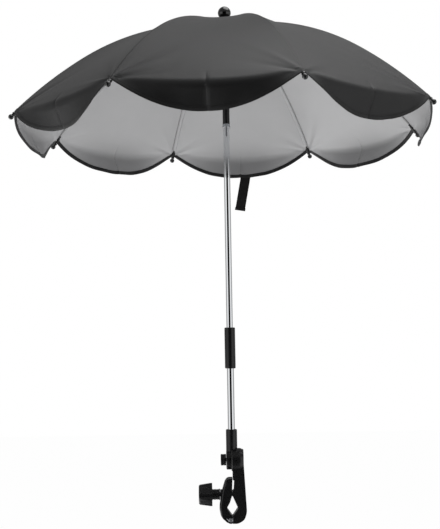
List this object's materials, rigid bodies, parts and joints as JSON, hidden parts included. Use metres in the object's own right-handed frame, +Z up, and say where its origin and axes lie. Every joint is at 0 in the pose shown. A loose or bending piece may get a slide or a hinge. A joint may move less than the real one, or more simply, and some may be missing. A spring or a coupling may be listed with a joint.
{
  "type": "pram parasol",
  "caption": "Folding sunshade with a scalloped dome canopy on a tilting chrome pole, held to a pram tube by a swivelling screw clamp with vee jaws.",
  "frame": {"origin": "middle of the clamp's grip, where the pram tube passes", "axes": "+Z up along the pole, +X from the screw knob towards the clamp arm, +Y along the gripped tube"},
  "size_m": [0.7248, 0.7248, 0.9037],
  "materials": {
    "black_plastic": "satin black moulding",
    "gloss_black": "polished black",
    "chrome": "polished",
    "black_steel": "black enamel",
    "steel": "zinc plated",
    "friction_rubber": "matt",
    "canopy_cloth": "dark grey polyester, silver-grey coating inside",
    "strap_cloth": "black hook-and-loop band"
  },
  "bodies": {
    "clamp": {"clamp_arm": "black_plastic", "screw_nut": "steel", "jaw_pin": "steel", "pivot_bolt": "steel", "friction_washer": "friction_rubber"},
    "jaw": {"moving_jaw": "black_plastic"},
    "screw_carriage": {"pressure_washer": "black_plastic"},
    "screw": {"clamp_screw": "steel", "screw_knob": "black_plastic"},
    "swivel_knob": {"swivel_knob": "black_plastic"},
    "lower": {"pole_socket": "black_plastic", "lower_pole": "chrome", "tilt_tongue": "steel"},
    "upper": {"upper_pole": "chrome", "tilt_fork": "steel", "tilt_pin": "steel", "top_notch": "black_plastic", "notch_wire": "steel", "canopy_washer": "steel", "ferrule_cap": "gloss_black", "catch_spring": "chrome"},
    "sleeve": {"lock_sleeve": "black_plastic"},
    "runner": {"runner": "black_plastic", "runner_ring": "chrome"},
    "rib_1": {"rib_1": "black_steel", "rib_tip_1": "gloss_black", "canopy_gore_1": "canopy_cloth"},
    "stretcher_1": {"stretcher_1": "black_steel"},
    "rib_2": {"rib_2": "black_steel", "rib_tip_2": "gloss_black", "canopy_gore_2": "canopy_cloth", "strap": "strap_cloth"},
    "stretcher_2": {"stretcher_2": "black_steel"},
    "rib_3": {"rib_3": "black_steel", "rib_tip_3": "gloss_black", "canopy_gore_3": "canopy_cloth"},
    "stretcher_3": {"stretcher_3": "black_steel"},
    "rib_4": {"rib_4": "black_steel", "rib_tip_4": "gloss_black", "canopy_gore_4": "canopy_cloth"},
    "stretcher_4": {"stretcher_4": "black_steel"},
    "rib_5": {"rib_5": "black_steel", "rib_tip_5": "gloss_black", "canopy_gore_5": "canopy_cloth"},
    "stretcher_5": {"stretcher_5": "black_steel"},
    "rib_6": {"rib_6": "black_steel", "rib_tip_6": "gloss_black", "canopy_gore_6": "canopy_cloth"},
    "stretcher_6": {"stretcher_6": "black_steel"},
    "rib_7": {"rib_7": "black_steel", "rib_tip_7": "gloss_black", "canopy_gore_7": "canopy_cloth"},
    "stretcher_7": {"stretcher_7": "black_steel"},
    "rib_8": {"rib_8": "black_steel", "rib_tip_8": "gloss_black", "canopy_gore_8": "canopy_cloth"},
    "stretcher_8": {"stretcher_8": "black_steel"}
  },
  "joints": [
    {"name": "base_swing", "type": "hinge", "parent": "clamp", "child": "lower", "pos_m": [0, 0, 0.08], "axis": [1, 0, 0], "range_deg": [-90, 90]},
    {"name": "swivel_knob_turn", "type": "hinge", "parent": "clamp", "child": "swivel_knob", "pos_m": [-0.0145, 0, 0.08], "axis": [-1, 0, 0], "range_deg": [0, 360]},
    {"name": "screw_travel", "type": "slide", "parent": "clamp", "child": "screw_carriage", "axis": [-1, 0, 0], "range_m": [0, 0.014]},
    {"name": "screw_turn", "type": "hinge", "parent": "screw_carriage", "child": "screw", "pos_m": [-0.035, 0, 0.0211], "axis": [-1, 0, 0], "range_deg": [0, 1440]},
    {"name": "jaw_swing", "type": "hinge", "parent": "clamp", "child": "jaw", "pos_m": [-0.0035, 0, -0.0208], "axis": [0, -1, 0], "range_deg": [0, 14.86]},
    {"name": "pole_tilt", "type": "hinge", "parent": "lower", "child": "upper", "pos_m": [0, 0, 0.245], "axis": [0, -1, 0], "range_deg": [0, 90]},
    {"name": "sleeve_slide", "type": "slide", "parent": "upper", "child": "sleeve", "axis": [0, 0, 1], "range_m": [0, 0.0501]},
    {"name": "runner_slide", "type": "slide", "parent": "upper", "child": "runner", "axis": [0, 0, -1], "range_m": [0, 0.28261], "deforming": ["canopy_gore_1", "canopy_gore_2", "canopy_gore_3", "canopy_gore_4", "canopy_gore_5", "canopy_gore_6", "canopy_gore_7", "canopy_gore_8", "strap", "catch_spring"]},
    {"name": "rib_1_fold", "type": "hinge", "parent": "upper", "child": "rib_1", "pos_m": [0.00859, 0.00268, 0.844], "axis": [-0.2974, 0.9548, 0], "range_deg": [0, 59.16]},
    {"name": "stretcher_1_fold", "type": "hinge", "parent": "rib_1", "child": "stretcher_1", "pos_m": [0.19511, 0.06077, 0.78982], "axis": [0.2974, -0.9548, 0], "range_deg": [0, 118.33]},
    {"name": "rib_2_fold", "type": "hinge", "parent": "upper", "child": "rib_2", "pos_m": [0.00418, 0.00797, 0.844], "axis": [-0.8854, 0.4648, 0], "range_deg": [0, 59.16]},
    {"name": "stretcher_2_fold", "type": "hinge", "parent": "rib_2", "child": "stretcher_2", "pos_m": [0.09499, 0.18093, 0.78982], "axis": [0.8854, -0.4648, 0], "range_deg": [0, 118.33]},
    {"name": "rib_3_fold", "type": "hinge", "parent": "upper", "child": "rib_3", "pos_m": [-0.00268, 0.00859, 0.844], "axis": [-0.9548, -0.2974, 0], "range_deg": [0, 59.16]},
    {"name": "stretcher_3_fold", "type": "hinge", "parent": "rib_3", "child": "stretcher_3", "pos_m": [-0.06077, 0.19511, 0.78982], "axis": [0.9548, 0.2974, 0], "range_deg": [0, 118.33]},
    {"name": "rib_4_fold", "type": "hinge", "parent": "upper", "child": "rib_4", "pos_m": [-0.00797, 0.00418, 0.844], "axis": [-0.4648, -0.8854, 0], "range_deg": [0, 59.16]},
    {"name": "stretcher_4_fold", "type": "hinge", "parent": "rib_4", "child": "stretcher_4", "pos_m": [-0.18093, 0.09499, 0.78982], "axis": [0.4648, 0.8854, 0], "range_deg": [0, 118.33]},
    {"name": "rib_5_fold", "type": "hinge", "parent": "upper", "child": "rib_5", "pos_m": [-0.00859, -0.00268, 0.844], "axis": [0.2974, -0.9548, 0], "range_deg": [0, 59.16]},
    {"name": "stretcher_5_fold", "type": "hinge", "parent": "rib_5", "child": "stretcher_5", "pos_m": [-0.19511, -0.06077, 0.78982], "axis": [-0.2974, 0.9548, 0], "range_deg": [0, 118.33]},
    {"name": "rib_6_fold", "type": "hinge", "parent": "upper", "child": "rib_6", "pos_m": [-0.00418, -0.00797, 0.844], "axis": [0.8854, -0.4648, 0], "range_deg": [0, 59.16]},
    {"name": "stretcher_6_fold", "type": "hinge", "parent": "rib_6", "child": "stretcher_6", "pos_m": [-0.09499, -0.18093, 0.78982], "axis": [-0.8854, 0.4648, 0], "range_deg": [0, 118.33]},
    {"name": "rib_7_fold", "type": "hinge", "parent": "upper", "child": "rib_7", "pos_m": [0.00268, -0.00859, 0.844], "axis": [0.9548, 0.2974, 0], "range_deg": [0, 59.16]},
    {"name": "stretcher_7_fold", "type": "hinge", "parent": "rib_7", "child": "stretcher_7", "pos_m": [0.06077, -0.19511, 0.78982], "axis": [-0.9548, -0.2974, 0], "range_deg": [0, 118.33]},
    {"name": "rib_8_fold", "type": "hinge", "parent": "upper", "child": "rib_8", "pos_m": [0.00797, -0.00418, 0.844], "axis": [0.4648, 0.8854, 0], "range_deg": [0, 59.16]},
    {"name": "stretcher_8_fold", "type": "hinge", "parent": "rib_8", "child": "stretcher_8", "pos_m": [0.18093, -0.09499, 0.78982], "axis": [-0.4648, -0.8854, 0], "range_deg": [0, 118.33]}
  ],
  "couplings": [
    {"joint": "screw_turn", "follows": "screw_travel", "rad_per_m": 1795},
    {"joint": "jaw_swing", "follows": "screw_travel", "rad_per_m": 18.519},
    {"joint": "sleeve_slide", "follows": "pole_tilt", "m_per_rad": 0.031831},
    {"joint": "rib_1_fold", "follows": "runner_slide", "rad_per_m": 3.6525},
    {"joint": "stretcher_1_fold", "follows": "runner_slide", "rad_per_m": 7.305},
    {"joint": "rib_2_fold", "follows": "runner_slide", "rad_per_m": 3.6525},
    {"joint": "stretcher_2_fold", "follows": "runner_slide", "rad_per_m": 7.305},
    {"joint": "rib_3_fold", "follows": "runner_slide", "rad_per_m": 3.6525},
    {"joint": "stretcher_3_fold", "follows": "runner_slide", "rad_per_m": 7.305},
    {"joint": "rib_4_fold", "follows": "runner_slide", "rad_per_m": 3.6525},
    {"joint": "stretcher_4_fold", "follows": "runner_slide", "rad_per_m": 7.305},
    {"joint": "rib_5_fold", "follows": "runner_slide", "rad_per_m": 3.6525},
    {"joint": "stretcher_5_fold", "follows": "runner_slide", "rad_per_m": 7.305},
    {"joint": "rib_6_fold", "follows": "runner_slide", "rad_per_m": 3.6525},
    {"joint": "stretcher_6_fold", "follows": "runner_slide", "rad_per_m": 7.305},
    {"joint": "rib_7_fold", "follows": "runner_slide", "rad_per_m": 3.6525},
    {"joint": "stretcher_7_fold", "follows": "runner_slide", "rad_per_m": 7.305},
    {"joint": "rib_8_fold", "follows": "runner_slide", "rad_per_m": 3.6525},
    {"joint": "stretcher_8_fold", "follows": "runner_slide", "rad_per_m": 7.305}
  ]
}
